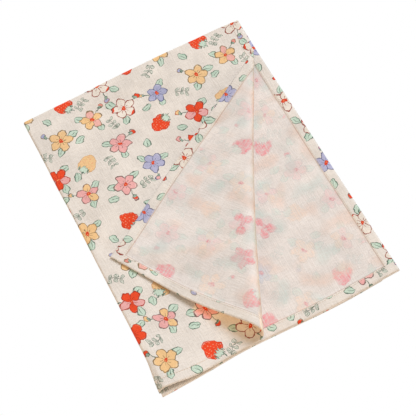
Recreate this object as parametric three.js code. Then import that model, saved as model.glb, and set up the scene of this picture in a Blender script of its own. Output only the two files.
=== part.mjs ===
// A muslin swaddle blanket: one rectangle of hemmed cloth, folded in half at its top edge, then
// in half again at its left edge, so that it lies as a flat stack of four layers. The free
// corner of the top layer is turned back over a soft roll and shows the reverse of the cloth.
//
// A place on the flat cloth is { across, along }, measured from its centre, where the two folds
// cross. The half with along above 0 becomes the upper cloth (layers 1 and 4) and the other
// half the lower cloth (layers 2 and 3). The right half, with across above 0, ends on top.
// The folded stack's own plane has x = 0 at the left fold and y = 0 at the hems, and the part
// is moved at the end so that its origin is the middle of its footprint, on the surface below.

import * as THREE from 'three';

// Driving dimensions, in millimetres.
const CLOTH_WIDTH = 750;
const CLOTH_LENGTH = 1000;
const CLOTH_THICKNESS = 1.0;
const HEM_WIDTH = 15;
const HEM_EXTRA = 0.6;
const HEM_SLOPE = 1.5;

// Fold radii, to the middle of the cloth. The left fold bends both cloths about one line: its
// radius is that of the surface midway between them, and each lies a top fold radius from it.
const TOP_FOLD_RADIUS = 1.25;
const LEFT_FOLD_RADIUS = 1.9;

// The upper cloth lies askew: towards its hem it has slid to the right of the lower cloth.
const UPPER_SLIDE = 28.4;
const UPPER_SLIDE_POWER = 2;

// The turned-back corner. The roll starts on the bottom hem and runs up and to the right. Its
// line and the flap both bow a little, and its upper end draws in the edge of the top layer.
const ROLL_START = new THREE.Vector2(146.1, 0);
const ROLL_END = new THREE.Vector2(371.0, 434.6);
const ROLL_RADIUS = { start: 13.6, middle: 10.1, end: 6.5 };
const ROLL_BOW = -8.5;
const FLAP_HEIGHT = 2.0;
const FLAP_SETTLING = 60;
const FLAP_SETTLING_POWER = 1.3;
const FLAP_SKEW = 0.083;
const FLAP_BOW = -4.6;
const DRAWN_EDGE = { inward: 5.3, at: 430, reach: 45 };

// How far each side of the stack bows out of the straight rectangle, along its length. The cloth
// within the margin of a side moves as one, so that the folds keep their radius.
const BOW_MARGIN = 8;
const BOW_REACH = 60;
const LEFT_BOW = [
  { at: 0, out: 0 },
  { at: 55, out: -4.6 },
  { at: 260, out: -2.9 },
  { at: 400, out: -0.4 },
  { at: 500, out: 1 },
];
const RIGHT_BOW = [
  { at: 0, out: -0.6 },
  { at: 250, out: -0.5 },
  { at: 400, out: -0.1 },
  { at: 500, out: 1.2 },
];
const TOP_BOW = [
  { at: 0, out: -2.6 },
  { at: 190, out: -1.1 },
  { at: 330, out: -2.2 },
  { at: 375, out: -4.5 },
];
const BOTTOM_BOW = [
  { at: 0, out: 3.4 },
  { at: 40, out: 2.8 },
  { at: 130, out: -1.6 },
  { at: 280, out: 2.8 },
  { at: 375, out: 0.2 },
];

// The hem of the flap bows out too. This is measured before the corner is turned back.
const FLAP_HEM_BOW = [
  { at: 150, out: 0 },
  { at: 285, out: 8 },
  { at: 345, out: 4 },
];

// At the lower left corner the upper cloth's hem is drawn up, and its fold stands open.
const DRAWN_HEM = { rise: 7, reach: 45, start: 260 };
const OPEN_FOLD = { height: 6, reach: 60, slope: 11 };

// Soft waves that the cloth keeps from use, highest on the top layer.
const WAVES = [
  { height: 0.5, length: 210, heading: 35, start: 20 },
  { height: 0.35, length: 130, heading: 110, start: 75 },
  { height: 0.25, length: 95, heading: -20, start: 200 },
];

// Mesh steps.
const GRID_COLUMNS = 10;
const GRID_ROWS = 12;
const FOLD_STEPS = 6;
const ROLL_STEPS = 9;
const SETTLING_STEPS = [14, 32, 55, 90, 140];
const SNAP = 0.8;
const NORMAL_STEP = 0.01;

// Sizes that follow from the driving dimensions.
const HALF_WIDTH = CLOTH_WIDTH / 2;
const HALF_LENGTH = CLOTH_LENGTH / 2;
const TOP_FOLD_REACH = TOP_FOLD_RADIUS * Math.PI / 2;
const LEFT_FOLD_REACH = LEFT_FOLD_RADIUS * Math.PI / 2;
const STACK_RADIUS = LEFT_FOLD_RADIUS + TOP_FOLD_RADIUS + CLOTH_THICKNESS / 2;
const TOP_LAYER_RISE = 2 * (LEFT_FOLD_RADIUS + TOP_FOLD_RADIUS);
const TOP_AXIS = HALF_LENGTH - TOP_FOLD_REACH;
const ROLL_LENGTH = ROLL_START.distanceTo(ROLL_END);
const ROLL_DIRECTION = ROLL_END.clone().sub(ROLL_START).divideScalar(ROLL_LENGTH);
const ROLL_OUTWARD = new THREE.Vector2(ROLL_DIRECTION.y, -ROLL_DIRECTION.x);

const { clamp, degToRad, smoothstep } = THREE.MathUtils;

// ---- How the flat cloth is folded ----

// The value of a bow table at a distance along its side, eased from row to row.
function bowAt(rows, distance) {
  const last = rows.length - 1;
  const place = clamp(distance, rows[0].at, rows[last].at);
  const next = Math.max(rows.findIndex((row) => row.at >= place), 1);
  const from = rows[next - 1];
  const to = rows[next];
  return from.out + (to.out - from.out) * smoothstep(place, from.at, to.at);
}

// How much of a side's bow a place takes, by its distance from that side: 1 near it, then less.
function nearness(distance) {
  return Math.exp(-Math.max(distance - BOW_MARGIN, 0) / BOW_REACH);
}

// The height of the soft waves at a place in the stack's plane, never below zero.
function waveHeight(x, y) {
  return WAVES.reduce((sum, { height, length, heading, start }) => {
    const run = x * Math.cos(degToRad(heading)) + y * Math.sin(degToRad(heading));
    return sum + height * (1 + Math.sin(2 * Math.PI * run / length + degToRad(start)));
  }, 0);
}

// Distances from the edge of the roll: out past it, along it, its share of the bows' full
// arch, the radius there, the angle that the cloth has turned through, and how much cloth lies
// turned back past the roll.
function rollPlace(x, y) {
  const fromStart = new THREE.Vector2(x, y).sub(ROLL_START);
  const along = fromStart.dot(ROLL_DIRECTION);
  const t = clamp(along / ROLL_LENGTH, 0, 1);
  const arch = 4 * t * (1 - t);
  const out = fromStart.dot(ROLL_OUTWARD) - ROLL_BOW * arch;
  const radius = ROLL_RADIUS.start * (1 - t) * (1 - 2 * t)
    + ROLL_RADIUS.middle * arch
    + ROLL_RADIUS.end * t * (2 * t - 1);
  const angle = clamp(out / radius, 0, Math.PI);
  return { out, along, arch, radius, angle, past: Math.max(out - Math.PI * radius, 0) };
}

// Carries a place of the top layer over the roll, and says how high it comes to lie.
function turnBack(x, y) {
  const { out, along, arch, radius, angle, past } = rollPlace(x, y);
  if (out <= 0) {
    return { x, y, rise: 0 };
  }
  const bow = ROLL_BOW + FLAP_BOW * (1 - Math.exp(-((past / FLAP_SETTLING) ** 2)));
  const outward = radius * Math.sin(angle) - past + bow * arch;
  const place = ROLL_START.clone()
    .addScaledVector(ROLL_DIRECTION, along + FLAP_SKEW * past)
    .addScaledVector(ROLL_OUTWARD, outward);
  const settled = Math.exp(-((past / FLAP_SETTLING) ** FLAP_SETTLING_POWER));
  const onRoll = radius * (1 - Math.cos(angle));
  const onStack = FLAP_HEIGHT + (2 * radius - FLAP_HEIGHT) * settled;
  return { x: place.x, y: place.y, rise: past > 0 ? onStack : onRoll };
}

// The distance across the cloth from the line that becomes its left fold.
function fromLeftFold({ across, along }) {
  return across + UPPER_SLIDE * (Math.max(along, 0) / HALF_LENGTH) ** UPPER_SLIDE_POWER;
}

// Where a place on the flat cloth lies when the stack is folded, before the corner is turned.
function foldedPlace(spot) {
  const side = fromLeftFold(spot);
  const bend = clamp(side / LEFT_FOLD_RADIUS, -Math.PI / 2, Math.PI / 2);
  const turn = clamp(spot.along / TOP_FOLD_RADIUS, -Math.PI / 2, Math.PI / 2);
  const radius = LEFT_FOLD_RADIUS + TOP_FOLD_RADIUS * Math.sin(turn);
  const run = Math.max(Math.abs(spot.along) - TOP_FOLD_REACH, 0);
  return new THREE.Vector3(
    STACK_RADIUS + Math.max(Math.abs(side) - LEFT_FOLD_REACH, 0) - radius * Math.cos(bend),
    TOP_AXIS - run + TOP_FOLD_RADIUS * Math.cos(turn),
    STACK_RADIUS + radius * Math.sin(bend),
  );
}

// The middle of the cloth's thickness, folded, turned back and uneven.
function clothMiddle(spot) {
  const folded = foldedPlace(spot);
  const upper = clamp(spot.along / TOP_FOLD_REACH, 0, 1);
  const onTop = upper * smoothstep(folded.z, STACK_RADIUS, STACK_RADIUS + TOP_LAYER_RISE / 2);
  const bowed = folded.y - bowAt(FLAP_HEM_BOW, folded.x) * nearness(folded.y);
  const turned = onTop > 0 ? turnBack(folded.x, bowed) : { x: folded.x, y: folded.y, rise: 0 };
  const { x, y } = turned;
  const corner = Math.exp(-((x / DRAWN_HEM.reach) ** 2));
  const drawn = DRAWN_HEM.rise * corner * smoothstep(spot.along, DRAWN_HEM.start, HALF_LENGTH);
  const open = OPEN_FOLD.height * onTop * smoothstep(x, 0, OPEN_FOLD.slope)
    * Math.exp(-(x * x + y * y) / OPEN_FOLD.reach ** 2);
  const level = (folded.z - CLOTH_THICKNESS / 2) / TOP_LAYER_RISE;
  const toRight = nearness(HALF_WIDTH - x);
  const toTop = nearness(HALF_LENGTH - y);
  const toLeft = nearness(x);
  const toBottom = nearness(y);
  const toRollEnd = Math.exp(-(((y - DRAWN_EDGE.at) / DRAWN_EDGE.reach) ** 2));
  const inward = DRAWN_EDGE.inward * onTop * toRollEnd;
  return new THREE.Vector3(
    x + toRight * (bowAt(RIGHT_BOW, y) - inward) - toLeft * bowAt(LEFT_BOW, y),
    y + toTop * bowAt(TOP_BOW, x) - toBottom * bowAt(BOTTOM_BOW, x) + drawn,
    folded.z + turned.rise + open + level * waveHeight(x, y),
  );
}

// The direction in which the printed face looks, at right angles to the folded cloth.
function faceDirection({ across, along }) {
  const right = clothMiddle({ across: across + NORMAL_STEP, along });
  const left = clothMiddle({ across: across - NORMAL_STEP, along });
  const near = clothMiddle({ across, along: along + NORMAL_STEP });
  const far = clothMiddle({ across, along: along - NORMAL_STEP });
  return near.sub(far).cross(right.sub(left)).normalize();
}

// The cloth's thickness on its reverse side, where the turned-in hem adds to it.
function reverseThickness({ across, along }) {
  const inside = Math.min(HALF_WIDTH - Math.abs(across), HALF_LENGTH - Math.abs(along));
  const hem = 1 - smoothstep(inside, HEM_WIDTH, HEM_WIDTH + HEM_SLOPE);
  return CLOTH_THICKNESS / 2 + HEM_EXTRA * hem;
}

// ---- The flat cloth, cut into panels ----

const spots = [
  { across: -HALF_WIDTH, along: -HALF_LENGTH },
  { across: HALF_WIDTH, along: -HALF_LENGTH },
  { across: HALF_WIDTH, along: 0 },
  { across: HALF_WIDTH, along: HALF_LENGTH },
  { across: -HALF_WIDTH, along: HALF_LENGTH },
  { across: -HALF_WIDTH, along: 0 },
];
const lowerHalf = [0, 1, 2, 5];
const upperHalf = [5, 2, 3, 4];

// Cuts every panel along the line where side(spot) is zero. Neighbours share the new corners.
function cutAlong(panels, side) {
  const values = spots.map((spot) => {
    const value = side(spot);
    return Math.abs(value) < SNAP ? 0 : value;
  });
  const made = new Map();
  const cornerBetween = (a, b) => {
    const key = a < b ? `${a} ${b}` : `${b} ${a}`;
    if (!made.has(key)) {
      const share = values[a] / (values[a] - values[b]);
      const across = spots[a].across + share * (spots[b].across - spots[a].across);
      const along = spots[a].along + share * (spots[b].along - spots[a].along);
      made.set(key, spots.push({ across, along }) - 1);
    }
    return made.get(key);
  };
  return panels.flatMap((panel) => {
    const isCut = panel.some((id) => values[id] > 0) && panel.some((id) => values[id] < 0);
    if (!isCut) {
      return [panel];
    }
    const kept = [];
    const parted = [];
    panel.forEach((id, i) => {
      const next = panel[(i + 1) % panel.length];
      if (values[id] >= 0) {
        kept.push(id);
      }
      if (values[id] <= 0) {
        parted.push(id);
      }
      if (values[id] * values[next] < 0) {
        const corner = cornerBetween(id, next);
        kept.push(corner);
        parted.push(corner);
      }
    });
    return [kept, parted];
  });
}

// A measure of the roll on the top layer, and a negative number on every other layer.
function onTopLayer(measure) {
  return (spot) => {
    const folded = foldedPlace(spot);
    const isTop = spot.along > TOP_FOLD_REACH && fromLeftFold(spot) > LEFT_FOLD_REACH;
    return isTop ? measure(rollPlace(folded.x, folded.y)) : -HALF_WIDTH;
  };
}

// Lines of an even grid, then along each hem, both folds and the roll.
function cuttingLines() {
  const lines = [];
  for (let column = 1; column < 2 * GRID_COLUMNS; column += 1) {
    lines.push(({ across }) => across - (column / GRID_COLUMNS - 1) * HALF_WIDTH);
  }
  for (let row = 1; row < 2 * GRID_ROWS; row += 1) {
    lines.push(({ along }) => along - (row / GRID_ROWS - 1) * HALF_LENGTH);
  }
  for (const inset of [HEM_WIDTH, HEM_WIDTH + HEM_SLOPE]) {
    for (const sign of [-1, 1]) {
      lines.push(({ across }) => 2 * (sign * across - HALF_WIDTH + inset));
      lines.push(({ along }) => 2 * (sign * along - HALF_LENGTH + inset));
    }
  }
  for (let step = 0; step <= FOLD_STEPS; step += 1) {
    const share = 2 * step / FOLD_STEPS - 1;
    lines.push(({ along }) => SNAP * 20 * (along - share * TOP_FOLD_REACH));
    lines.push((spot) => SNAP * 20 * (fromLeftFold(spot) - share * LEFT_FOLD_REACH));
  }
  for (let step = 0; step <= ROLL_STEPS; step += 1) {
    const angle = Math.PI * step / ROLL_STEPS;
    lines.push(onTopLayer(({ out, radius }) => out - angle * radius));
  }
  for (const distance of SETTLING_STEPS) {
    lines.push(onTopLayer(({ out, radius }) => out - Math.PI * radius - distance));
  }
  return lines;
}

// ---- The cloth as one closed solid ----

function makeCloth() {
  const panels = cuttingLines().reduce(cutAlong, [lowerHalf, upperHalf]);
  const positions = [];
  const corners = [];
  for (const spot of spots) {
    const middle = clothMiddle(spot);
    const towardFace = faceDirection(spot);
    const face = middle.clone().addScaledVector(towardFace, CLOTH_THICKNESS / 2);
    const reverse = middle.clone().addScaledVector(towardFace, -reverseThickness(spot));
    positions.push(...face.toArray(), ...reverse.toArray());
  }
  const faceOf = (id) => 2 * id;
  const reverseOf = (id) => 2 * id + 1;
  const edges = new Map();
  for (const panel of panels) {
    panel.forEach((id, i) => {
      const next = panel[(i + 1) % panel.length];
      edges.set(`${id} ${next}`, [id, next]);
    });
    for (let i = 2; i < panel.length; i += 1) {
      corners.push(faceOf(panel[0]), faceOf(panel[i]), faceOf(panel[i - 1]));
      corners.push(reverseOf(panel[0]), reverseOf(panel[i - 1]), reverseOf(panel[i]));
    }
  }
  for (const [start, end] of edges.values()) {
    if (!edges.has(`${end} ${start}`)) {
      corners.push(faceOf(start), faceOf(end), reverseOf(end));
      corners.push(faceOf(start), reverseOf(end), reverseOf(start));
    }
  }
  const geometry = new THREE.BufferGeometry();
  geometry.setAttribute('position', new THREE.Float32BufferAttribute(positions, 3));
  geometry.setIndex(corners);
  return geometry;
}

// Puts the origin at the middle of the footprint, on the surface that the stack lies on.
function centreOnFootprint(geometry) {
  geometry.computeBoundingBox();
  const { min, max } = geometry.boundingBox;
  geometry.translate(-(min.x + max.x) / 2, -(min.y + max.y) / 2, -min.z);
  geometry.computeVertexNormals();
  return geometry;
}

const muslin = new THREE.MeshStandardMaterial({ color: 0xece2d6, roughness: 0.95, metalness: 0 });
const blanket = new THREE.Mesh(centreOnFootprint(makeCloth()), muslin);
blanket.name = 'blanket';

const part = new THREE.Group();
part.add(blanket);

export default part;
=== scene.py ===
import math

import bpy
import numpy as np
from mathutils import Matrix, Vector


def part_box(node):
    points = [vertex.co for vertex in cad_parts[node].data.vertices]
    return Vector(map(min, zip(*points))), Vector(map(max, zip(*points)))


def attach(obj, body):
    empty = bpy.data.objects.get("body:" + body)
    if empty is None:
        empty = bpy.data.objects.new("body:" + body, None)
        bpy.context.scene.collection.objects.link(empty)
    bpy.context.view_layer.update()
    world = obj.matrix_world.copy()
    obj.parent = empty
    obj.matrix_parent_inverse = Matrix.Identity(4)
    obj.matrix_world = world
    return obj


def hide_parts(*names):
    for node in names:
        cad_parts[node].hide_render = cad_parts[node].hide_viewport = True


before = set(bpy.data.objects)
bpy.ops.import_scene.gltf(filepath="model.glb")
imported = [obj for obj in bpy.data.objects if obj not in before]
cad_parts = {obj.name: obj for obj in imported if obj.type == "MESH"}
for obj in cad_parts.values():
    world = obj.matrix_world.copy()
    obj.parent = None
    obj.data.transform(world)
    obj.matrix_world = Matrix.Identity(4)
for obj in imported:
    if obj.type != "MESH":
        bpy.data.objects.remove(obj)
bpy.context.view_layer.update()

MM = 0.001
bpy.ops.object.select_all(action="DESELECT")


# ---- Camera ----
# It looks down on the folded stack from its lower left, turned a little about its own axis.
# The stack's own plane has x = 0 at its left fold and y = 0 at its hems, in millimetres. The
# solid's box starts where the left fold bows out most and where the hems hang lowest.

LEFTMOST_FOLD = -1.0
LOWEST_HEM = -3.5
STACK_CORNER = Vector(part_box("blanket")[0]) - Vector((LEFTMOST_FOLD, LOWEST_HEM, 0)) * MM
CAMERA_AZIMUTH = math.radians(-14.126)
CAMERA_ELEVATION = math.radians(63.248)
CAMERA_ROLL = math.radians(-14.136)
CAMERA_DISTANCE = 1563.45
CAMERA_AIM = Vector((185.2, 223.1, 0))
CAMERA_LENS = 91.77

back = Vector((
    math.sin(CAMERA_AZIMUTH) * math.cos(CAMERA_ELEVATION),
    -math.cos(CAMERA_AZIMUTH) * math.cos(CAMERA_ELEVATION),
    math.sin(CAMERA_ELEVATION),
))
level_right = Vector((0, 0, 1)).cross(back).normalized()
level_up = back.cross(level_right)
right = level_right * math.cos(CAMERA_ROLL) + level_up * math.sin(CAMERA_ROLL)
up = level_up * math.cos(CAMERA_ROLL) - level_right * math.sin(CAMERA_ROLL)
bpy.ops.object.camera_add(location=STACK_CORNER + (CAMERA_AIM + back * CAMERA_DISTANCE) * MM)
camera = bpy.context.object
camera.rotation_euler = Matrix((right, up, back)).transposed().to_euler()
camera.data.lens = CAMERA_LENS
bpy.context.scene.camera = camera


# ---- Floor and light ----
# A plain white sweep of paper, so bright that no shadow shows on it, under a large soft lamp that
# is a little cool, in a room that is a little warm.

GLOW_PLACE = Vector((137, 52, 21.3))
GLOW_LENGTH, GLOW_WIDTH = 112, 34
GLOW_TURN = (-10.7, -7.7, 35.2)


def linear(hex_colour):
    """An sRGB hex colour as a linear one, with alpha 1."""
    parts = [int(hex_colour[i:i + 2], 16) / 255 for i in (0, 2, 4)]
    return (*[c / 12.92 if c <= 0.04045 else ((c + 0.055) / 1.055) ** 2.4 for c in parts], 1.0)


def add(tree, kind, *inputs, **settings):
    """Adds a shader node. An input is a value, a socket, or a node whose first output is used."""
    node = tree.nodes.new("ShaderNode" + kind)
    for name, value in settings.items():
        setattr(node, name, value)
    for socket, value in zip(node.inputs, inputs):
        if isinstance(value, bpy.types.Node):
            value = value.outputs[0]
        if isinstance(value, bpy.types.NodeSocket):
            tree.links.new(value, socket)
        elif value is not None:
            socket.default_value = value
    return node


bpy.ops.mesh.primitive_plane_add(size=30)
floor = bpy.context.object
floor.name = "floor"
paper = bpy.data.materials.new("white_paper")
paper.use_nodes = True
paper.node_tree.nodes["Principled BSDF"].inputs["Base Color"].default_value = linear("000000")
paper.node_tree.nodes["Principled BSDF"].inputs["Specular IOR Level"].default_value = 0
paper.node_tree.nodes["Principled BSDF"].inputs["Emission Color"].default_value = linear("ffffff")
paper.node_tree.nodes["Principled BSDF"].inputs["Emission Strength"].default_value = 1.0
floor.data.materials.append(paper)

bpy.ops.object.light_add(type="SUN", location=(2.9, 2.3, 3.9))
lamp = bpy.context.object
lamp.data.energy = 2.36
lamp.data.angle = math.radians(32)
lamp.data.color = linear("eff6ff")[:3]
lamp.rotation_euler = (-lamp.location).to_track_quat("-Z", "Y").to_euler()

# A low warm reflector lights what looks towards it: the hems' edges and the mouth of the roll.
bpy.ops.object.light_add(type="AREA", location=(-0.9, -1.7, 0.16))
reflector = bpy.context.object
reflector.data.size = 0.3
reflector.data.energy = 9.0
reflector.data.color = linear("ffd4a4")[:3]
reflector.rotation_euler = (-reflector.location).to_track_quat("-Z", "Y").to_euler()

# Thin gauze lets daylight through, so the hollow of the roll glows: a warm sheet of light lies
# close under the flap's hem there.
bpy.ops.object.light_add(type="AREA", location=STACK_CORNER + GLOW_PLACE * MM)
glow = bpy.context.object
glow.data.shape = "RECTANGLE"
glow.data.size = GLOW_WIDTH * MM
glow.data.size_y = GLOW_LENGTH * MM
glow.data.energy = 0.0058
glow.data.color = linear("ffc880")[:3]
glow.rotation_euler = [math.radians(angle) for angle in GLOW_TURN]
glow.visible_camera = False

room = bpy.data.worlds.new("white_room")
room.use_nodes = True
room.node_tree.nodes["Background"].inputs["Color"].default_value = linear("ffeed8")
room.node_tree.nodes["Background"].inputs["Strength"].default_value = 0.5
bpy.context.scene.world = room
bpy.context.scene.view_settings.view_transform = "Standard"


# ---- Cloth ----
# One rectangle of printed cotton double gauze, hemmed all round, folded in half at its top
# edge and again at its left edge, with the top layer's free corner turned back over a roll.

CLOTH_WIDTH = 750
CLOTH_LENGTH = 1000
CLOTH_THICKNESS = 0.8
HEM_WIDTH = 15
HEM_EXTRA = 0.6
HEM_SLOPE = 1.2
TOP_FOLD_RADIUS = 1.25
LEFT_FOLD_RADIUS = 1.9
STACK_RADIUS = 3.65
UPPER_SLIDE = 28.4
UPPER_SLIDE_POWER = 2
SLIDE_FADE = (20, 90)
ROLL_START = np.array((146.1, 0.0))
ROLL_END = np.array((371.0, 434.6))
ROLL_RADIUS = (13.6, 10.1, 6.5)
ROLL_BOW = -8.5
FLAP_HEIGHT = 2.0
FLAP_SETTLING = 60
FLAP_SETTLING_POWER = 1.3
FLAP_SKEW = 0.083
FLAP_BOW = -4.6
DRAWN_EDGE = {"inward": 5.3, "at": 430, "reach": 45}
LEFT_BOW = ((0, 0), (55, -4.6), (260, -2.9), (400, -0.4), (500, 1))
RIGHT_BOW = ((0, -0.6), (250, -0.5), (400, -0.1), (500, 1.2))
TOP_BOW = ((0, -2.6), (190, -1.1), (330, -2.2), (375, -4.5))
BOTTOM_BOW = ((0, 3.4), (40, 2.8), (130, -1.6), (280, 2.8), (375, 0.2))
BOW_MARGIN = 8
BOW_REACH = 60
FLAP_HEM_BOW = ((150, -1), (285, 4.5), (345, 2.5))
DRAWN_HEM = {"rise": 7, "from": 260, "reach": 45}
OPEN_FOLD_HEIGHT = 6
OPEN_FOLD_REACH = 60
OPEN_FOLD_SLOPE = 11
NUDGE = 0.01
WAVES = (
    {"height": 0.5, "length": 210, "heading": 35, "start": 20},
    {"height": 0.35, "length": 130, "heading": 110, "start": 75},
    {"height": 0.25, "length": 95, "heading": -20, "start": 200},
)

# Soft creases that the cloth keeps, on the stack's plane: a ridge where high is above 0, else a
# trough, from one point to another. Each fades out at its ends and wanders from side to side.
CREASE_FADE = 15
CREASE_WANDER, CREASE_WANDER_LENGTH = 3, 17
CREASES = (
    {"from": (62, 452), "to": (205, 456), "high": -1.5, "wide": 13},
    {"from": (142, 490), "to": (107, 357), "high": 0.9, "wide": 8},
    {"from": (297, 460), "to": (283, 350), "high": -0.9, "wide": 10},
    {"from": (52, 217), "to": (150, 162), "high": 1.6, "wide": 11},
    {"from": (60, 188), "to": (120, 122), "high": -1.5, "wide": 10},
    {"from": (236, 350), "to": (299, 317), "high": -1.3, "wide": 9},
    {"from": (186, 190), "to": (238, 120), "high": 1.0, "wide": 9},
    {"from": (178, 18), "to": (249, 169), "high": -1.2, "wide": 9},
    {"from": (361, 330), "to": (338, 140), "high": 1.0, "wide": 8},
    {"from": (296, 115), "to": (339, 33), "high": -1.1, "wide": 10},
    {"from": (300, 240), "to": (352, 190), "high": 0.8, "wide": 7},
    {"from": (20, 110), "to": (80, 64), "high": 0.9, "wide": 9},
    {"from": (12, 358), "to": (24, 205), "high": -1.0, "wide": 11},
)

HALF_WIDTH = CLOTH_WIDTH / 2
HALF_LENGTH = CLOTH_LENGTH / 2
TOP_FOLD_REACH = TOP_FOLD_RADIUS * math.pi / 2
LEFT_FOLD_REACH = LEFT_FOLD_RADIUS * math.pi / 2
ROLL_LENGTH = float(np.linalg.norm(ROLL_END - ROLL_START))
ROLL_DIRECTION = (ROLL_END - ROLL_START) / ROLL_LENGTH
ROLL_OUTWARD = np.array((ROLL_DIRECTION[1], -ROLL_DIRECTION[0]))


def eased(value, low, high):
    share = np.clip((value - low) / (high - low), 0, 1)
    return share * share * (3 - 2 * share)


def bow_at(rows, place):
    bow = np.full_like(place, rows[0][1], dtype=float)
    for (start, out), (end, next_out) in zip(rows, rows[1:]):
        share = eased(place, start, end)
        bow = np.where(place >= start, out + (next_out - out) * share, bow)
    return bow


def nearness(distance):
    return np.exp(-np.maximum(distance - BOW_MARGIN, 0) / BOW_REACH)


def wave_height(x, y):
    total = 0
    for wave in WAVES:
        heading = math.radians(wave["heading"])
        run = x * math.cos(heading) + y * math.sin(heading)
        phase = 2 * math.pi * run / wave["length"] + math.radians(wave["start"])
        total = total + wave["height"] * (1 + np.sin(phase))
    return total


def crease_height(x, y):
    total = 0
    for crease in CREASES:
        (start_x, start_y), (end_x, end_y) = crease["from"], crease["to"]
        length = math.hypot(end_x - start_x, end_y - start_y)
        run_x, run_y = (end_x - start_x) / length, (end_y - start_y) / length
        along = (x - start_x) * run_x + (y - start_y) * run_y
        aside = (x - start_x) * run_y - (y - start_y) * run_x
        aside = aside + CREASE_WANDER * np.sin(along / CREASE_WANDER_LENGTH + start_x)
        tapered = eased(along, -CREASE_FADE, length / 3)
        tapered = tapered * eased(length - along, -CREASE_FADE, length / 3)
        total = total + crease["high"] * tapered * np.exp(-((aside / crease["wide"]) ** 2))
    return total


def turn_back(x, y):
    """Carries places of the top layer over the roll: their new x and y, and their rise."""
    along = (x - ROLL_START[0]) * ROLL_DIRECTION[0] + (y - ROLL_START[1]) * ROLL_DIRECTION[1]
    t = np.clip(along / ROLL_LENGTH, 0, 1)
    arch = 4 * t * (1 - t)
    out = (x - ROLL_START[0]) * ROLL_OUTWARD[0] + (y - ROLL_START[1]) * ROLL_OUTWARD[1]
    out = out - ROLL_BOW * arch
    start, middle, end = ROLL_RADIUS
    radius = start * (1 - t) * (1 - 2 * t) + middle * arch + end * t * (2 * t - 1)
    angle = np.clip(out / radius, 0, math.pi)
    past = np.maximum(out - math.pi * radius, 0)
    bow = ROLL_BOW + FLAP_BOW * (1 - np.exp(-((past / FLAP_SETTLING) ** 2)))
    outward = np.where(out > 0, radius * np.sin(angle) - past + bow * arch, out + ROLL_BOW * arch)
    forward = along + FLAP_SKEW * past
    settled = np.exp(-((past / FLAP_SETTLING) ** FLAP_SETTLING_POWER))
    on_stack = FLAP_HEIGHT + (2 * radius - FLAP_HEIGHT) * settled
    rise = np.where(past > 0, on_stack, radius * (1 - np.cos(angle)))
    new_x = ROLL_START[0] + ROLL_DIRECTION[0] * forward + ROLL_OUTWARD[0] * outward
    new_y = ROLL_START[1] + ROLL_DIRECTION[1] * forward + ROLL_OUTWARD[1] * outward
    return new_x, new_y, rise


def cloth_middle(side, along):
    """Where the middle of the cloth lies. side is measured from the line of the left fold."""
    bend = np.clip(side / LEFT_FOLD_RADIUS, -math.pi / 2, math.pi / 2)
    turn = np.clip(along / TOP_FOLD_RADIUS, -math.pi / 2, math.pi / 2)
    radius = LEFT_FOLD_RADIUS + TOP_FOLD_RADIUS * np.sin(turn)
    flat_x = STACK_RADIUS + np.maximum(abs(side) - LEFT_FOLD_REACH, 0) - radius * np.cos(bend)
    run = np.maximum(abs(along) - TOP_FOLD_REACH, 0)
    flat_y = HALF_LENGTH - TOP_FOLD_REACH - run + TOP_FOLD_RADIUS * np.cos(turn)
    flat_z = STACK_RADIUS + radius * np.sin(bend)
    upper = np.clip(along / TOP_FOLD_REACH, 0, 1)
    top_rise = LEFT_FOLD_RADIUS + TOP_FOLD_RADIUS
    on_top = upper * eased(flat_z, STACK_RADIUS, STACK_RADIUS + top_rise)
    bowed = flat_y - bow_at(FLAP_HEM_BOW, flat_x) * nearness(flat_y)
    turned_x, turned_y, rise = turn_back(flat_x, bowed)
    x = np.where(on_top > 0, turned_x, flat_x)
    y = np.where(on_top > 0, turned_y, flat_y)
    rise = np.where(on_top > 0, rise, 0)
    drawn = DRAWN_HEM["rise"] * eased(along, DRAWN_HEM["from"], HALF_LENGTH)
    drawn = drawn * np.exp(-((x / DRAWN_HEM["reach"]) ** 2))
    opened = OPEN_FOLD_HEIGHT * on_top * eased(x, 0, OPEN_FOLD_SLOPE)
    opened = opened * np.exp(-(x * x + y * y) / OPEN_FOLD_REACH ** 2)
    level = (flat_z - (STACK_RADIUS - top_rise)) / (2 * top_rise)
    to_right, to_top = nearness(HALF_WIDTH - x), nearness(HALF_LENGTH - y)
    to_left, to_bottom = nearness(x), nearness(y)
    to_roll_end = np.exp(-(((y - DRAWN_EDGE["at"]) / DRAWN_EDGE["reach"]) ** 2))
    inward = DRAWN_EDGE["inward"] * on_top * to_roll_end
    return np.stack((
        x + to_right * (bow_at(RIGHT_BOW, y) - inward) - to_left * bow_at(LEFT_BOW, y),
        y + to_top * bow_at(TOP_BOW, x) - to_bottom * bow_at(BOTTOM_BOW, x) + drawn,
        flat_z + rise + opened + level * (wave_height(x, y) + crease_height(x, y)),
    ), axis=-1)


def face_direction(side, along):
    """Which way the printed side faces."""
    across = cloth_middle(side + NUDGE, along) - cloth_middle(side - NUDGE, along)
    down = cloth_middle(side, along + NUDGE) - cloth_middle(side, along - NUDGE)
    normal = np.cross(down, across)
    return normal / np.linalg.norm(normal, axis=-1, keepdims=True)


def upper_slide(along):
    """How far the upper half of the cloth has slid sideways over the lower."""
    return UPPER_SLIDE * (np.maximum(along, 0) / HALF_LENGTH) ** UPPER_SLIDE_POWER


def stops(*runs):
    """Grid lines through runs of (end, spacing), starting at the first run's end."""
    lines = [runs[0]]
    for end, spacing in runs[1:]:
        count = max(1, round(abs(end - lines[-1]) / spacing))
        lines.extend(np.linspace(lines[-1], end, count + 1)[1:])
    return np.array(lines)


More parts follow.
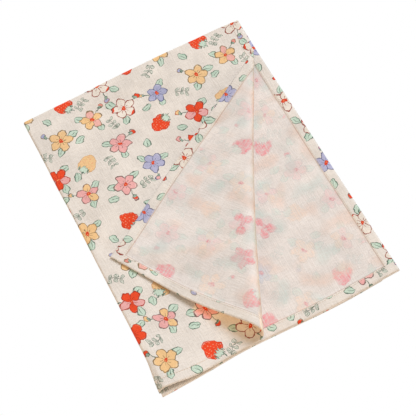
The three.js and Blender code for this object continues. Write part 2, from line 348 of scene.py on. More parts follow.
# The grid is fine at the folds, on the half of the cloth that shows, and where the hem ends.
HEM_LINE = HEM_WIDTH + HEM_SLOPE
columns = stops(
    -HALF_WIDTH, (-HALF_WIDTH + HEM_WIDTH, 4), (-HALF_WIDTH + HEM_LINE, 1),
    (-8, 9), (8, 0.8),
    (HALF_WIDTH - HEM_LINE, 3.4), (HALF_WIDTH - HEM_WIDTH, 1), (HALF_WIDTH, 3),
)
rows = stops(
    -HALF_LENGTH, (-HALF_LENGTH + HEM_WIDTH, 4), (-HALF_LENGTH + HEM_LINE, 1),
    (-4, 4.5), (4, 0.6),
    (HALF_LENGTH - HEM_LINE, 3.4), (HALF_LENGTH - HEM_WIDTH, 1), (HALF_LENGTH, 3),
)
column, along = np.meshgrid(columns, rows, indexing="ij")
slide = upper_slide(along)
side = column + slide * eased(abs(column), *SLIDE_FADE)
across = side - slide

middle = cloth_middle(side, along)
facing = face_direction(side, along)
inside = np.minimum(HALF_WIDTH - abs(across), HALF_LENGTH - abs(along))
hem = 1 - eased(inside, HEM_WIDTH, HEM_LINE)
face = middle + facing * CLOTH_THICKNESS / 2
reverse = middle - facing * (CLOTH_THICKNESS / 2 + HEM_EXTRA * hem)[..., None]

points = np.concatenate((face.reshape(-1, 3), reverse.reshape(-1, 3)))
points = points * MM + np.array(STACK_CORNER)
count_x, count_y = column.shape
number = np.arange(count_x * count_y).reshape(count_x, count_y)
a, b, c, d = number[:-1, :-1], number[1:, :-1], number[1:, 1:], number[:-1, 1:]
face_quads = np.stack((a, d, c, b), axis=-1).reshape(-1, 4)
reverse_quads = np.stack((a, b, c, d), axis=-1).reshape(-1, 4) + number.size
rim = np.concatenate((number[:-1, 0], number[-1, :-1], number[:0:-1, -1], number[0, :0:-1]))
rim_next = np.roll(rim, -1)
rim_quads = np.stack((rim, rim_next, rim_next + number.size, rim + number.size), axis=-1)
quads = np.concatenate((face_quads, reverse_quads, rim_quads))

cloth_mesh = bpy.data.meshes.new("cloth")
cloth_mesh.from_pydata(points.tolist(), [], quads.tolist())
cloth = bpy.data.objects.new("cloth", cloth_mesh)
bpy.context.collection.objects.link(cloth)
cloth_mesh.polygons.foreach_set("use_smooth", [True] * len(quads))

# The printed side has one map of the flat cloth, in metres. The hem's turned-in strip shows the
# same side of the cloth, so its map runs on past the cloth's edge.
spot = np.stack((across, along), axis=-1).reshape(-1, 2)
limit = np.array((HALF_WIDTH, HALF_LENGTH))
under = spot[reverse_quads - number.size]
turned_in = (limit - abs(under) < HEM_WIDTH + HEM_SLOPE / 2).all(axis=1, keepdims=True)
under = np.where(turned_in, np.sign(under) * 2 * limit - under, under)
corner_spot = np.concatenate((spot[face_quads], under, spot[rim_quads % number.size]))
layer = cloth_mesh.uv_layers.new(name="flat_cloth")
layer.data.foreach_set("uv", (corner_spot * MM).ravel())

# How steeply the cloth stands, for the painted warm shade at its folds, in place of light coming
# through the gauze.
steepness = cloth_mesh.attributes.new("steepness", "FLOAT", "POINT")
steepness.data.foreach_set("value", np.tile((1 - abs(facing[..., 2])).ravel(), 2))


# ---- Print ----
# Ordinary garden motifs, screen-printed on cream cotton: five-petalled flowers with leaves and
# a bud, strawberries, single leaves and sprigs, tossed over a repeat 236 mm square. The ink
# lines are drawn by hand, and the colours keep to them loosely.

REPEAT = 236
PRINT_SHIFT = 32
SPREAD = 36
PEN = 0.56
PEN_EDGE = 0.5
LOOSENESS = 3.0
WOBBLE, WOBBLE_LENGTH = 6.0, 10
HAND_LENGTH = 6.25
LEAF_FILL, LEAF_LINE, LEAF_SHADE = "cde1d2", "587163", "b7d2c0"
HEART, SEED, STAMEN = "dc4a30", "f5ab8a", "f4a163"
BERRY_SHADE = "7a2a18"

# The motifs' own sizes, in millimetres. The size of an oval or a leaf is half its length and half
# its width, and a leaf's vein runs between two shares of its half length.
LEAF = {"size": (8.2, 5.2), "roundness": 2.4, "vein": (-0.9, 0.45)}
PETALS = 5
PETAL = {"middle": 9.2, "unevenness": 2.6, "size": (7.6, 6.3), "tip": (15, 30)}
PETAL_LINES = {"rib": (3.5, 8.2), "seam_end": 15, "seam_overlap": 0.3, "rim_start": 5}
DISC_RADIUS, HEART_RADIUS, STAMEN_RADIUS = 6, 3.1, 0.9
FLOWER_LEAVES = {"reach": 20, "turn": 12}
BUD = {"middle": (28, 4.4), "radius": 3.9, "stalk": (14, 25), "bend": -0.006}
BUD_LEAF = {"middle": (24.6, 3.2), "turn": 62, "size": (3.4, 1.7)}
BERRY = {"size": (12.6, 11.4), "widening": 0.24, "radius": 11.5, "scale": 1.15}
SEED_GAP, SEED_RADIUS = 3.9, 0.6
CALYX = {"middle": 10.6, "flatness": 0.72, "radius": 5.8, "tooth": 1.7, "depth": 1.5}
BERRY_STALK = {"aside": 1.2, "run": (14, 19.5)}
SPRIG = {"run": (-11.5, 10.5), "bend": -0.02, "pair_gap": 8.4, "pairs_end": 12.4}
SPRIG_LEAF = {"middle": (4.4, 4.0), "turn": 48, "size": (3.7, 2.2), "filled": 0.3}

# The flowers stand in three layers of four, and the strawberries in a fourth. A flower's row
# gives its petals, its second colour, whether that is on petals' tips or all over them, its line
# and its bud, then its turn, its size, and how far it is moved across and along from its even
# place, as shares.
TIPPED, TWO_TONED = 0.0, 1.0
FLOWERS = (
    (
        ("f3ca94", "efb7ae", TWO_TONED, "8f7758", "ea9b90", 0.03, 1.00, 0.60, 0.35),
        ("b3b6d6", "c4c5de", TIPPED, "5d6286", "f3ca94", 0.37, 0.92, 0.35, 0.60),
        ("efb3b2", "f2c8c2", TIPPED, "7e6460", "ec5030", 0.69, 1.02, 0.45, 0.70),
        ("ee5230", "f0714e", TIPPED, "ab3a26", "efb3b2", 0.31, 1.00, 0.70, 0.40),
    ),
    (
        ("eee5da", "ec5030", TIPPED, "98463a", "ec5030", 0.65, 1.08, 0.40, 0.55),
        ("f3cc99", "f4d6ac", TIPPED, "8f7758", "b3b6d6", 0.96, 1.06, 0.65, 0.65),
        ("b9bad9", "c8c8e0", TIPPED, "5d6286", "efb3b2", 0.30, 0.95, 0.30, 0.35),
        ("efb3b2", "f3ca94", TWO_TONED, "7e6460", "f3ca94", 0.02, 0.96, 0.55, 0.30),
    ),
    (
        ("efb3b2", "f2c8c2", TIPPED, "7e6460", "ec5030", 0.35, 0.98, 0.30, 0.45),
        ("ee5230", "efb3b2", TWO_TONED, "ab3a26", "f3ca94", 0.71, 1.02, 0.55, 0.70),
        ("eee5da", "ec5030", TIPPED, "98463a", "b3b6d6", 0.05, 1.10, 0.70, 0.55),
        ("f3ca94", "f4d6ac", TIPPED, "8f7758", "ec5030", 0.66, 1.04, 0.45, 0.30),
    ),
)
STRAWBERRIES = (
    ("ee4d2c", 0.30, 0.60, 0.40),
    ("f4cd99", 0.85, 0.35, 0.60),
    ("ee4d2c", 0.55, 0.45, 0.30),
    ("ee4d2c", 0.08, 0.60, 0.65),
)
# Where the leaves and the bud of each layer's flowers stand round them, in degrees.
ARRANGEMENTS = ((80, 222, 325), (98, 338, 203), (218, 335, 95))
LAYER_SHIFTS = ((0, 0), (REPEAT / 4, 0), (REPEAT / 8, REPEAT / 4), (3 * REPEAT / 8, REPEAT / 4))

# Between them, a leaf (1) or a sprig (0), its turn, and where it sits in its own small cell. The
# small cells start a little off the large ones, by shares of a cell.
FILLERS = (
    (0, 0.10, 0.5, 0.3), (1, 0.85, 0.3, 0.6), (0, 0.62, 0.6, 0.5), (1, 0.33, 0.5, 0.7),
    (1, 0.55, 0.7, 0.4), (0, 0.30, 0.4, 0.4), (1, 0.05, 0.4, 0.5), (0, 0.92, 0.6, 0.6),
    (0, 0.78, 0.3, 0.5), (1, 0.20, 0.6, 0.3), (1, 0.40, 0.5, 0.6), (1, 0.70, 0.5, 0.4),
    (1, 0.45, 0.6, 0.7), (0, 0.02, 0.4, 0.3), (1, 0.88, 0.3, 0.4), (0, 0.52, 0.5, 0.5),
)
FILLER_SPREAD = 10
FILLER_SHIFT = (0.5, -0.17)


def chart(tree, place, colours):
    """Looks a cell's colour up in a constant ramp that has one stop for each cell."""
    ramp = add(tree, "ValToRGB", place)
    ramp.color_ramp.interpolation = "CONSTANT"
    elements = ramp.color_ramp.elements
    elements.remove(elements[-1])
    for number, colour in enumerate(colours):
        element = elements[0] if number == 0 else elements.new(number / len(colours))
        element.color = colour
    return ramp


def cell_places(tree, place, shift, size, brick):
    """Cuts the cloth into cells, with each second row moved half a cell where brick is 1: a
    cell's place in the charts, and the position from the cell's middle."""
    moved = add(tree, "VectorMath", place, (*shift, 0), operation="SUBTRACT")
    x, y = add(tree, "SeparateXYZ", moved).outputs[:2]
    row = add(tree, "Math", add(tree, "Math", y, size, operation="DIVIDE"), operation="FLOOR")
    odd = add(tree, "Math", row, 1, operation="PINGPONG")
    moved_x = add(tree, "Math", odd, brick * size / 2, x, operation="MULTIPLY_ADD")
    column = add(tree, "Math", add(tree, "Math", moved_x, size, operation="DIVIDE"), operation="FLOOR")
    local = []
    for value in (moved_x, y):
        start = add(tree, "Math", value, size, operation="FLOORED_MODULO")
        local.append(add(tree, "Math", start, size / 2, operation="SUBTRACT"))
    count = round(REPEAT / size)
    across = add(tree, "Math", column, count, operation="FLOORED_MODULO")
    down = add(tree, "Math", row, count, operation="FLOORED_MODULO")
    number = add(tree, "Math", down, count, across, operation="MULTIPLY_ADD")
    share = add(tree, "Math", number, 1 / count ** 2, 0.5 / count ** 2, operation="MULTIPLY_ADD")
    return share, add(tree, "CombineXYZ", *local)


def motif_place(tree, local, settings, spread):
    """Moves, turns and sizes a cell's position by its chart: across, along, turn and size."""
    across, along, turn = add(tree, "SeparateColor", settings).outputs[:3]
    x = add(tree, "Math", across, -spread, spread / 2, operation="MULTIPLY_ADD")
    y = add(tree, "Math", along, -spread, spread / 2, operation="MULTIPLY_ADD")
    moved = add(tree, "VectorMath", local, add(tree, "CombineXYZ", x, y), operation="ADD")
    angle = add(tree, "Math", turn, 2 * math.pi, operation="MULTIPLY")
    turned = add(tree, "VectorRotate", moved, None, None, angle, rotation_type="Z_AXIS")
    return add(tree, "VectorMath", turned, settings.outputs[1], operation="DIVIDE")


def mask(tree, *parts):
    """The product of masks."""
    product = parts[0]
    for part in parts[1:]:
        product = add(tree, "Math", product, part, operation="MULTIPLY")
    return product


def fill(tree, edge, ink):
    """1 inside a shape, whose colour keeps only loosely to the distance of its edge."""
    loose = add(tree, "Math", edge, ink["loose"], operation="ADD")
    return add(tree, "Math", loose, ink["sharp"], 0.5, operation="MULTIPLY_ADD", use_clamp=True)


def stroke(tree, distance, ink, width=1.0):
    """1 along the line where a distance is zero, as wide as the pen there."""
    away = add(tree, "Math", distance, operation="ABSOLUTE")
    half = add(tree, "Math", ink["pen"], width, operation="MULTIPLY")
    depth = add(tree, "Math", half, away, operation="SUBTRACT")
    line = add(tree, "Math", depth, 1 / PEN_EDGE, 0.5, operation="MULTIPLY_ADD", use_clamp=True)
    return mask(tree, line, ink["lines"])


def within(tree, value, low, high):
    """1 where a value lies between two others, with an edge as soft as the pen's."""
    middle = add(tree, "Math", value, (low + high) / 2, operation="SUBTRACT")
    away = add(tree, "Math", middle, operation="ABSOLUTE")
    depth = add(tree, "Math", (high - low) / 2, away, operation="SUBTRACT")
    return add(tree, "Math", depth, 1 / PEN_EDGE, 0.5, operation="MULTIPLY_ADD", use_clamp=True)


def over(tree, below, shown, colour):
    return add(tree, "MixRGB", shown, below, colour)


def paint_leaf(tree, below, place, centre, turn, size, ink, shown=1.0, filled=1.0):
    """A leaf with a vein, centred on a point and turned by degrees."""
    half_length, half_width = size
    unit = add(
        tree, "Mapping", place, (*centre, 0), (0, 0, math.radians(turn)),
        (half_length, half_width, 1), vector_type="TEXTURE",
    )
    u, v = add(tree, "SeparateXYZ", unit).outputs[:2]
    from_middle = add(tree, "Math", u, operation="ABSOLUTE")
    from_middle = add(tree, "Math", from_middle, LEAF["roundness"], operation="POWER")
    to_vein = add(tree, "Math", v, operation="ABSOLUTE")
    edge = add(tree, "Math", from_middle, to_vein, operation="ADD")
    edge = add(tree, "Math", edge, half_width, -half_width, operation="MULTIPLY_ADD")
    body = mask(tree, fill(tree, edge, ink), shown, filled)
    below = over(tree, below, body, linear(LEAF_FILL))
    # The half past the vein is in shade.
    shade = add(tree, "Math", v, 1.2, -0.15, operation="MULTIPLY_ADD", use_clamp=True)
    below = over(tree, below, mask(tree, body, shade), linear(LEAF_SHADE))
    vein = stroke(tree, add(tree, "Math", v, half_width, operation="MULTIPLY"), ink, 0.7)
    vein = mask(tree, vein, within(tree, u, *LEAF["vein"]), shown)
    outline = mask(tree, stroke(tree, edge, ink), shown)
    lines = add(tree, "Math", outline, vein, operation="MAXIMUM")
    return over(tree, below, lines, linear(LEAF_LINE))


def bent(tree, x, y, bend):
    """How far a place lies off a line that curves away from y = 0."""
    square = add(tree, "Math", x, x, operation="MULTIPLY")
    return add(tree, "Math", square, bend, y, operation="MULTIPLY_ADD")


def paint_bud(tree, below, place, turn, colour, line, ink):
    """A bud on a stalk that leaves its flower at a turn in degrees."""
    turn = math.radians(-turn)
    local = add(tree, "VectorRotate", place, None, None, turn, rotation_type="Z_AXIS")
    u, v = add(tree, "SeparateXYZ", local).outputs[:2]
    stalk = stroke(tree, bent(tree, u, v, BUD["bend"]), ink)
    stalk = mask(tree, stalk, within(tree, u, *BUD["stalk"]))
    below = over(tree, below, stalk, linear(LEAF_LINE))
    away = add(tree, "VectorMath", local, (*BUD["middle"], 0), operation="DISTANCE").outputs[1]
    edge = add(tree, "Math", away, BUD["radius"], operation="SUBTRACT")
    below = over(tree, below, fill(tree, edge, ink), colour)
    below = over(tree, below, stroke(tree, edge, ink, 0.8), line)
    return paint_leaf(
        tree, below, local, BUD_LEAF["middle"], BUD_LEAF["turn"], BUD_LEAF["size"], ink,
    )


def paint_flower(tree, below, place, colours, ink):
    """Round petals, cut where they meet, with a few strokes round the heart."""
    petals, second, outline = colours
    x, y = add(tree, "SeparateXYZ", place).outputs[:2]
    away = add(tree, "VectorMath", place, operation="LENGTH").outputs[1]
    turn = add(tree, "Math", y, x, operation="ARCTAN2")
    turn = add(tree, "Math", turn, PETALS / (2 * math.pi), operation="MULTIPLY")
    number = add(tree, "Math", turn, operation="ROUND")
    aside = add(tree, "Math", turn, number, operation="SUBTRACT")
    aside = add(tree, "Math", aside, 2 * math.pi / PETALS, operation="MULTIPLY")
    u = add(tree, "Math", away, add(tree, "Math", aside, operation="COSINE"), operation="MULTIPLY")
    v = add(tree, "Math", away, add(tree, "Math", aside, operation="SINE"), operation="MULTIPLY")

    # Each petal is an oval along u, and they reach out unevenly. A disc joins them at the heart.
    half_length, half_width = PETAL["size"]
    reach = add(tree, "Math", number, 0.73, operation="PINGPONG")
    reach = add(tree, "Math", reach, PETAL["unevenness"], PETAL["middle"], operation="MULTIPLY_ADD")
    petal_u = add(tree, "Math", u, reach, operation="SUBTRACT")
    petal_u = add(tree, "Math", petal_u, half_length, operation="DIVIDE")
    petal_v = add(tree, "Math", v, half_width, operation="DIVIDE")
    oval = add(tree, "CombineXYZ", petal_u, petal_v)
    oval = add(tree, "VectorMath", oval, operation="LENGTH").outputs[1]
    petal_edge = add(tree, "Math", oval, half_width, -half_width, operation="MULTIPLY_ADD")
    disc_edge = add(tree, "Math", away, DISC_RADIUS, operation="SUBTRACT")
    edge = add(tree, "Math", petal_edge, disc_edge, operation="MINIMUM")

    # Every second petal takes the second colour, on its tip or, in a two-toned flower, all over.
    alternate = add(tree, "Math", number, 1, operation="PINGPONG")
    two_toned = add(tree, "Math", second.outputs[1], TWO_TONED / 2, operation="GREATER_THAN")
    laid = add(tree, "Math", within(tree, u, *PETAL["tip"]), two_toned, operation="MAXIMUM")
    petal_colour = add(tree, "MixRGB", mask(tree, laid, alternate), petals, second)
    below = over(tree, below, fill(tree, edge, ink), petal_colour)

    # The pen goes between the petals, along their ribs near the heart, and round their rims.
    from_seam = add(tree, "Math", aside, operation="ABSOLUTE")
    from_seam = add(tree, "Math", from_seam, math.pi / PETALS, operation="SUBTRACT")
    from_seam = add(tree, "Math", from_seam, away, operation="MULTIPLY")
    on_petal = add(tree, "Math", petal_edge, PETAL_LINES["seam_overlap"], operation="LESS_THAN")
    near = add(tree, "Math", away, PETAL_LINES["seam_end"], operation="LESS_THAN")
    seam = mask(tree, stroke(tree, from_seam, ink, 0.7), on_petal, near)
    rib = mask(tree, stroke(tree, v, ink, 0.55), within(tree, away, *PETAL_LINES["rib"]))
    off_heart = add(tree, "Math", away, PETAL_LINES["rim_start"], operation="GREATER_THAN")
    rim = mask(tree, stroke(tree, petal_edge, ink), off_heart)
    lines = add(tree, "Math", seam, rib, operation="MAXIMUM")
    lines = add(tree, "Math", lines, rim, operation="MAXIMUM")
    below = over(tree, below, lines, outline)
    heart = fill(tree, add(tree, "Math", away, HEART_RADIUS, operation="SUBTRACT"), ink)
    below = over(tree, below, heart, linear(HEART))
    return over(tree, below, within(tree, away, -1, STAMEN_RADIUS), linear(STAMEN))


def paint_strawberry(tree, below, place, flesh, ink):
    """An egg that widens towards its ragged calyx, with seeds."""
    half_length, half_width = BERRY["size"]
    x, y = add(tree, "SeparateXYZ", place).outputs[:2]
    width = add(tree, "Math", y, BERRY["widening"], half_width, operation="MULTIPLY_ADD")
    egg_x = add(tree, "Math", x, width, operation="DIVIDE")
    egg_y = add(tree, "Math", y, half_length, operation="DIVIDE")
    egg = add(tree, "CombineXYZ", egg_x, egg_y)
    egg = add(tree, "VectorMath", egg, operation="LENGTH").outputs[1]
    edge = add(tree, "Math", egg, BERRY["radius"], -BERRY["radius"], operation="MULTIPLY_ADD")
    body = fill(tree, edge, ink)
    below = over(tree, below, body, flesh)
    seeds = add(tree, "TexVoronoi", place, None, 1 / SEED_GAP, voronoi_dimensions="2D")
    seeds.inputs["Randomness"].default_value = 0.4
    from_seed = add(tree, "Math", seeds.outputs[0], SEED_GAP, operation="MULTIPLY")
    is_seed = within(tree, from_seed, -1, SEED_RADIUS)
    below = over(tree, below, mask(tree, is_seed, body, ink["lines"]), linear(SEED))
    dark = add(tree, "MixRGB", 0.35, flesh, linear(BERRY_SHADE))
    below = over(tree, below, stroke(tree, edge, ink, 0.8), dark)

    aside = add(tree, "Math", x, BERRY_STALK["aside"], operation="SUBTRACT")
    stalk = mask(tree, stroke(tree, aside, ink), within(tree, y, *BERRY_STALK["run"]))
    below = over(tree, below, stalk, linear(LEAF_LINE))
    top = add(tree, "Math", y, CALYX["middle"], operation="SUBTRACT")
    flat = add(tree, "Math", x, CALYX["flatness"], operation="MULTIPLY")
    away = add(tree, "CombineXYZ", flat, top)
    away = add(tree, "VectorMath", away, operation="LENGTH").outputs[1]
    away = add(tree, "Math", away, CALYX["radius"], operation="SUBTRACT")
    teeth = add(tree, "Math", x, CALYX["tooth"], operation="PINGPONG")
    calyx = add(tree, "Math", teeth, CALYX["depth"], away, operation="MULTIPLY_ADD")
    below = over(tree, below, fill(tree, calyx, ink), linear(LEAF_FILL))
    return over(tree, below, stroke(tree, calyx, ink, 0.8), linear(LEAF_LINE))


def paint_sprig(tree, below, place, ink, shown):
    """A bent twig with pairs of small leaves, mostly outlines."""
    x, y = add(tree, "SeparateXYZ", place).outputs[:2]
    off_stem = bent(tree, x, y, SPRIG["bend"])
    stem = mask(tree, stroke(tree, off_stem, ink, 0.8), within(tree, x, *SPRIG["run"]), shown)
    below = over(tree, below, stem, linear(LEAF_LINE))
    start = add(tree, "Math", x, 1.5 * SPRIG["pair_gap"], operation="ADD")
    step = add(tree, "Math", start, SPRIG["pair_gap"], operation="FLOORED_MODULO")
    pair = add(tree, "CombineXYZ", step, add(tree, "Math", off_stem, operation="ABSOLUTE"))
    thin = dict(ink, pen=add(tree, "Math", ink["pen"], 0.7, operation="MULTIPLY"))
    shown = mask(tree, within(tree, x, -SPRIG["pairs_end"], SPRIG["pairs_end"]), shown)
    return paint_leaf(
        tree, below, pair, SPRIG_LEAF["middle"], SPRIG_LEAF["turn"], SPRIG_LEAF["size"], thin,
        shown, SPRIG_LEAF["filled"],
    )


def make_print():
    tree = bpy.data.node_groups.new("garden_print", "ShaderNodeTree")
    sockets = (("Place", "Vector"), ("Ground", "Color"), ("Edge", "Float"), ("Lines", "Float"))
    for name, kind in sockets:
        tree.interface.new_socket(name, in_out="INPUT", socket_type="NodeSocket" + kind)
    tree.interface.new_socket("Color", in_out="OUTPUT", socket_type="NodeSocketColor")
    place, colour, softness, lines = tree.nodes.new("NodeGroupInput").outputs[:4]

    # The hand's wobble bends every line, and its pressure changes the pen's width and how closely
    # the fills keep to their edges. The same step shifts the print across the cloth.
    start = (0.5 + PRINT_SHIFT / WOBBLE, 0.5, 0.5)
    wobble = add(tree, "TexNoise", place, None, 1 / WOBBLE_LENGTH, 2.0, noise_dimensions="2D")
    drift = add(tree, "VectorMath", wobble.outputs[1], start, operation="SUBTRACT")
    place = add(tree, "VectorMath", drift, (WOBBLE, WOBBLE, 0), place, operation="MULTIPLY_ADD")
    hand = add(tree, "TexNoise", place, None, 1 / HAND_LENGTH, 0.0, noise_dimensions="2D")
    ink = {
        "sharp": add(tree, "Math", -1, softness, operation="DIVIDE"),
        "loose": add(tree, "Math", hand, LOOSENESS, -LOOSENESS / 2, operation="MULTIPLY_ADD"),
        "pen": add(tree, "Math", hand, PEN, PEN / 2, operation="MULTIPLY_ADD"),
        "lines": lines,
    }

    cell = REPEAT / 4
    shift = (FILLER_SHIFT[0] * cell, FILLER_SHIFT[1] * cell)
    share, local = cell_places(tree, place, shift, cell, 1)
    settings = chart(tree, share, [(x, y, turn, 1) for kind, turn, x, y in FILLERS])
    kinds = chart(tree, share, [(kind, kind, kind, 1) for kind, turn, x, y in FILLERS])
    filler = motif_place(tree, local, settings, FILLER_SPREAD)
    leaf = add(tree, "Math", kinds, 0.5, operation="GREATER_THAN")
    sprig = add(tree, "Math", 1, leaf, operation="SUBTRACT")
    colour = paint_leaf(tree, colour, filler, (0, 0), 0, LEAF["size"], ink, leaf)
    colour = paint_sprig(tree, colour, filler, ink, sprig)

    for flowers, turns, shift in zip(FLOWERS, ARRANGEMENTS, LAYER_SHIFTS):
        share, local = cell_places(tree, place, shift, REPEAT / 2, 0)
        settings = chart(tree, share, [(row[7], row[8], row[5], row[6]) for row in flowers])
        petals = chart(tree, share, [linear(row[0]) for row in flowers])
        second = chart(tree, share, [(*linear(row[1])[:3], row[2]) for row in flowers])
        outline = chart(tree, share, [linear(row[3]) for row in flowers])
        bud = chart(tree, share, [linear(row[4]) for row in flowers])
        flower = motif_place(tree, local, settings, SPREAD)
        for turn in turns[:2]:
            reach, heading = FLOWER_LEAVES["reach"], math.radians(turn)
            centre = (reach * math.cos(heading), reach * math.sin(heading))
            turn = turn + FLOWER_LEAVES["turn"]
            colour = paint_leaf(tree, colour, flower, centre, turn, LEAF["size"], ink)
        colour = paint_bud(tree, colour, flower, turns[2], bud, outline, ink)
        colour = paint_flower(tree, colour, flower, (petals, second, outline), ink)

    share, local = cell_places(tree, place, LAYER_SHIFTS[3], REPEAT / 2, 0)
    settings = chart(tree, share, [(row[2], row[3], row[1], BERRY["scale"]) for row in STRAWBERRIES])
    flesh = chart(tree, share, [linear(row[0]) for row in STRAWBERRIES])
    fruit = motif_place(tree, local, settings, SPREAD)
    colour = paint_strawberry(tree, colour, fruit, flesh, ink)
    tree.links.new(colour.outputs[0], tree.nodes.new("NodeGroupOutput").inputs[0])
    return tree


garden_print = make_print()


# ---- Gauze ----
# Double gauze is two thin layers of plain-woven cotton, caught together. It puckers along both of
# its threads, in short shallow streaks: the streaks are bumps, and a painted shade darkens their
# low parts, while broad random patches make the tone uneven. Cotton this loose is quite matt.

STREAKS = ((2.0, 17), (9, 2.4))
THREAD = 0.9
PATCH = 42
BUMP_STRENGTH = 1.0
BUMP_HEIGHT = 0.9
THREAD_BUMP = 0.3
DARKEST_TONE, PUCKER_SHADE, PATCH_TONE = 0.69, 0.3, 0.32
SEAM_INSET = 13.5
# The colour of a painted shade line along the seam's groove and the hem's step.
SEAM_SHADE_TAN = "c9a787"
FOLD_SHARPNESS = 1.5


def make_gauze(name, ground, print_edge, print_lines, seam, painted_fold_shade):
    made = bpy.data.materials.new(name)
    made.use_nodes = True
    tree = made.node_tree
    shader = tree.nodes["Principled BSDF"]
    shader.inputs["Roughness"].default_value = 0.95
    shader.inputs["Specular IOR Level"].default_value = 0.15
    place = add(tree, "VectorMath", add(tree, "UVMap", uv_map="flat_cloth"), operation="SCALE")
    place.inputs["Scale"].default_value = 1 / MM
    pattern = add(
        tree, "Group", place, linear(ground), print_edge, print_lines, node_tree=garden_print,
    )

    streaks = []
    for width, length in STREAKS:
        stretch = (1 / width, 1 / length, 0)
        stretched = add(tree, "VectorMath", place, stretch, operation="MULTIPLY")
        streaks.append(add(tree, "TexNoise", stretched, None, 1.0, 2.0, noise_dimensions="2D"))
    puckers = add(tree, "Math", *streaks, operation="ADD")
    puckers = add(tree, "Math", puckers, 0.5, operation="MULTIPLY")
    threads = add(tree, "TexNoise", place, None, 1 / THREAD, 1.0, noise_dimensions="2D")
    height = add(tree, "Math", threads, THREAD_BUMP, puckers, operation="MULTIPLY_ADD")
    bump = add(tree, "Bump", BUMP_STRENGTH, BUMP_HEIGHT * MM)
    tree.links.new(height.outputs[0], bump.inputs["Height"])
    tree.links.new(bump.outputs[0], shader.inputs["Normal"])
    patches = add(tree, "TexNoise", place, None, 1 / PATCH, 3.0, noise_dimensions="2D")
    # Painted shade: the colour is darker where the puckers are low.
    tone = add(tree, "Math", puckers, PUCKER_SHADE, DARKEST_TONE, operation="MULTIPLY_ADD")
    tone = add(tree, "Math", patches, PATCH_TONE, tone, operation="MULTIPLY_ADD")

    # A painted warm shade turns the cloth tan where it stands steeply, at its folds and over the roll,
    # in place of light coming through the gauze. A painted shade line runs all round too: in the
    # stitches' groove on the printed side, and at the step down from the hem on the reverse.
    steep = add(tree, "Attribute", attribute_name="steepness")
    steep = add(tree, "Math", steep.outputs[2], FOLD_SHARPNESS, operation="POWER")
    tan = add(tree, "MixRGB", steep, linear("ffffff"), linear(painted_fold_shade))
    out = add(tree, "VectorMath", place, operation="ABSOLUTE")
    inset = add(tree, "VectorMath", (HALF_WIDTH, HALF_LENGTH, 0), out, operation="SUBTRACT")
    inset_x, inset_y = add(tree, "SeparateXYZ", inset).outputs[:2]
    inset = add(tree, "Math", inset_x, inset_y, operation="MINIMUM")
    line = add(tree, "Math", inset, seam["inset"], seam["reach"], operation="COMPARE")
    tan = add(tree, "MixRGB", mask(tree, line, seam["depth"]), tan, linear(SEAM_SHADE_TAN))
    tone = add(tree, "VectorMath", tone, tan, operation="MULTIPLY")
    return made, place, pattern, puckers, tone


def dress_cloth(made, colour, tone):
    """Tones a side's colour, and gives the material to the cloth."""
    tree = made.node_tree
    toned = add(tree, "VectorMath", colour, tone, operation="MULTIPLY")
    tree.links.new(toned.outputs[0], tree.nodes["Principled BSDF"].inputs["Base Color"])
    cloth_mesh.materials.append(made)


# On the printed side the painted shade line lies in the stitches' groove, and the painted warm shade
# at the folds is faint.
printed_gauze, place, pattern, puckers, tone = make_gauze(
    "printed_gauze", "eae3dc", 0.5, 1.0,
    {"inset": SEAM_INSET, "reach": 1.0, "depth": 0.09}, "fdf1e3",
)
dress_cloth(printed_gauze, pattern, tone)

# The print shows through to the reverse, soft and mottled by the puckers. Strong inks show best,
# and reds fade more than blues. Each pair is a factor and what is then added.
REVERSE_GROUND = "eae3df"
SHOW_THROUGH = (0.9, 0.66, 0.54)
BY_INK, FAINTEST_INK = (-2.1, 1.4), 0.55
BY_PUCKERS = (2.6, -0.7)
BLOT = 34
WARM_BLOTS, COOL_BLOTS = (4.5, -2.65), (-4.5, 1.75)

# On the reverse the painted shade line lies at the step down from the hem, and the painted warm shade
# at the folds is stronger.
gauze_reverse, place, pattern, puckers, tone = make_gauze(
    "gauze_reverse", REVERSE_GROUND, 3.0, 0.45,
    {"inset": HEM_WIDTH + 0.9, "reach": 0.75, "depth": 0.4}, "fbe3c6",
)
tree = gauze_reverse.node_tree
green = add(tree, "SeparateColor", pattern).outputs["Green"]
strong = add(tree, "Math", green, *BY_INK, operation="MULTIPLY_ADD", use_clamp=True)
strong = add(tree, "Math", strong, FAINTEST_INK, operation="MAXIMUM")
mottled = add(tree, "Math", puckers, *BY_PUCKERS, operation="MULTIPLY_ADD", use_clamp=True)
show = add(tree, "VectorMath", SHOW_THROUGH, mask(tree, strong, mottled), operation="MULTIPLY")
faded = add(tree, "Mix", data_type="VECTOR", factor_mode="NON_UNIFORM")
tree.links.new(show.outputs[0], faded.inputs[1])
faded.inputs[4].default_value = linear(REVERSE_GROUND)[:3]
tree.links.new(pattern.outputs[0], faded.inputs[5])

# Fainter still, the layer beneath shows as soft blots, warm ones and cool ones.
blots = add(tree, "TexNoise", place, None, 1 / BLOT, 0.0, noise_dimensions="2D")
warm = add(tree, "Math", blots, *WARM_BLOTS, operation="MULTIPLY_ADD", use_clamp=True)
cool = add(tree, "Math", blots, *COOL_BLOTS, operation="MULTIPLY_ADD", use_clamp=True)
seen = over(tree, faded.outputs[1], mask(tree, warm, puckers), linear("ecd0c2"))
seen = over(tree, seen, mask(tree, cool, puckers), linear("cddad6"))
dress_cloth(gauze_reverse, seen, tone)

# The hem's turned-in strip shows the printed side, and so does the cloth's rim.
reverse_materials = np.where(turned_in.any(axis=(1, 2)), 0, 1)
material_of = np.concatenate((
    np.zeros(len(face_quads)), reverse_materials, np.zeros(len(rim_quads)),
))
cloth_mesh.polygons.foreach_set("material_index", material_of.astype(int))

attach(cloth, "root")
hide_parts("blanket")


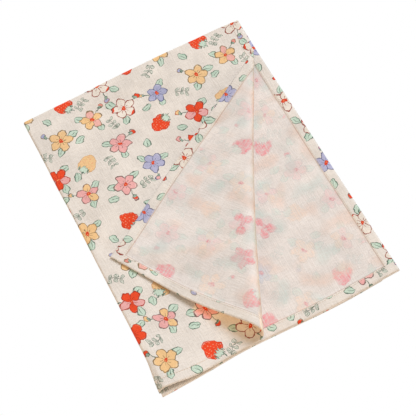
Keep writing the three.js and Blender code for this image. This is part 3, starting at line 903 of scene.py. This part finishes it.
# ---- Hem stitches ----
# One row of small stitches in spun cotton, cream and matt, holds down the turned-in hem all
# round, seen on both sides. Each is a short round bead of thread, a third sunk in the gauze, and
# none is made where the cloth folds.

STITCH_LENGTH = 2.7
STITCH_STEP = 3.7
STITCH_RADIUS = 0.32
STITCH_RISE = 0.35 * STITCH_RADIUS
STITCH_RINGS = ((-0.5, 0.35), (-0.3, 1.0), (0.3, 1.0), (0.5, 0.35))
STITCH_SIDES = 5
LEFT_FOLD_GAP, TOP_FOLD_GAP = 9, 7

seam_x, seam_y = HALF_WIDTH - SEAM_INSET, HALF_LENGTH - SEAM_INSET
places_across = np.arange(-seam_x + STITCH_STEP / 2, seam_x, STITCH_STEP)
places_along = np.arange(-seam_y + STITCH_STEP / 2, seam_y, STITCH_STEP)
left_or_right = np.full_like(places_along, seam_x)
bottom_or_top = np.full_like(places_across, seam_y)
stitch_across = np.concatenate((-left_or_right, left_or_right, places_across, places_across))
stitch_along = np.concatenate((places_along, places_along, -bottom_or_top, bottom_or_top))
stitch_down = np.arange(len(stitch_across)) < 2 * len(places_along)
stitch_side = stitch_across + upper_slide(stitch_along)
flat_there = (abs(stitch_side) > LEFT_FOLD_GAP) & (abs(stitch_along) > TOP_FOLD_GAP)
stitch_side, stitch_along = stitch_side[flat_there], stitch_along[flat_there]
stitch_down = stitch_down[flat_there]

stitch_points, stitch_faces = [], []
points_each = len(STITCH_RINGS) * STITCH_SIDES
for outward, depth in ((1, CLOTH_THICKNESS / 2), (-1, CLOTH_THICKNESS / 2 + HEM_EXTRA)):
    rings = []
    for share, fullness in STITCH_RINGS:
        step = share * STITCH_LENGTH
        at_side = stitch_side + np.where(stitch_down, 0, step)
        at_along = stitch_along + np.where(stitch_down, step, 0)
        normal = face_direction(at_side, at_along) * outward
        ahead = cloth_middle(at_side + NUDGE * ~stitch_down, at_along + NUDGE * stitch_down)
        centre = cloth_middle(at_side, at_along)
        run = (ahead - centre) / np.linalg.norm(ahead - centre, axis=-1, keepdims=True)
        wide = np.cross(normal, run)
        centre = centre + normal * (depth + STITCH_RISE)
        for turn in range(STITCH_SIDES):
            angle = 2 * math.pi * turn / STITCH_SIDES
            offset = wide * math.cos(angle) + normal * math.sin(angle)
            rings.append(centre + offset * STITCH_RADIUS * fullness)
    rings = np.stack(rings, axis=1)
    # The stack's weight presses the lowest stitches flat on the floor.
    rings[..., 2] = np.maximum(rings[..., 2], 0)
    base = (len(stitch_points) + np.arange(len(rings)))[:, None] * points_each
    stitch_points.extend(rings)
    for start in range(0, points_each - STITCH_SIDES, STITCH_SIDES):
        for turn in range(STITCH_SIDES):
            here, beside = start + turn, start + (turn + 1) % STITCH_SIDES
            corners = np.array((here, beside, beside + STITCH_SIDES, here + STITCH_SIDES))
            stitch_faces.extend((base + corners).tolist())
    for cap in (np.arange(STITCH_SIDES)[::-1], np.arange(points_each - STITCH_SIDES, points_each)):
        stitch_faces.extend((base + cap).tolist())

stitch_points = np.concatenate(stitch_points) * MM + np.array(STACK_CORNER)
stitch_mesh = bpy.data.meshes.new("hem_stitches")
stitch_mesh.from_pydata(stitch_points.tolist(), [], stitch_faces)
stitches = bpy.data.objects.new("hem_stitches", stitch_mesh)
bpy.context.collection.objects.link(stitches)
stitch_mesh.polygons.foreach_set("use_smooth", [True] * len(stitch_faces))
thread = bpy.data.materials.new("cream_thread")
thread.use_nodes = True
thread.node_tree.nodes["Principled BSDF"].inputs["Base Color"].default_value = linear("e9dccb")
thread.node_tree.nodes["Principled BSDF"].inputs["Roughness"].default_value = 0.8
stitch_mesh.materials.append(thread)

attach(stitches, "root")
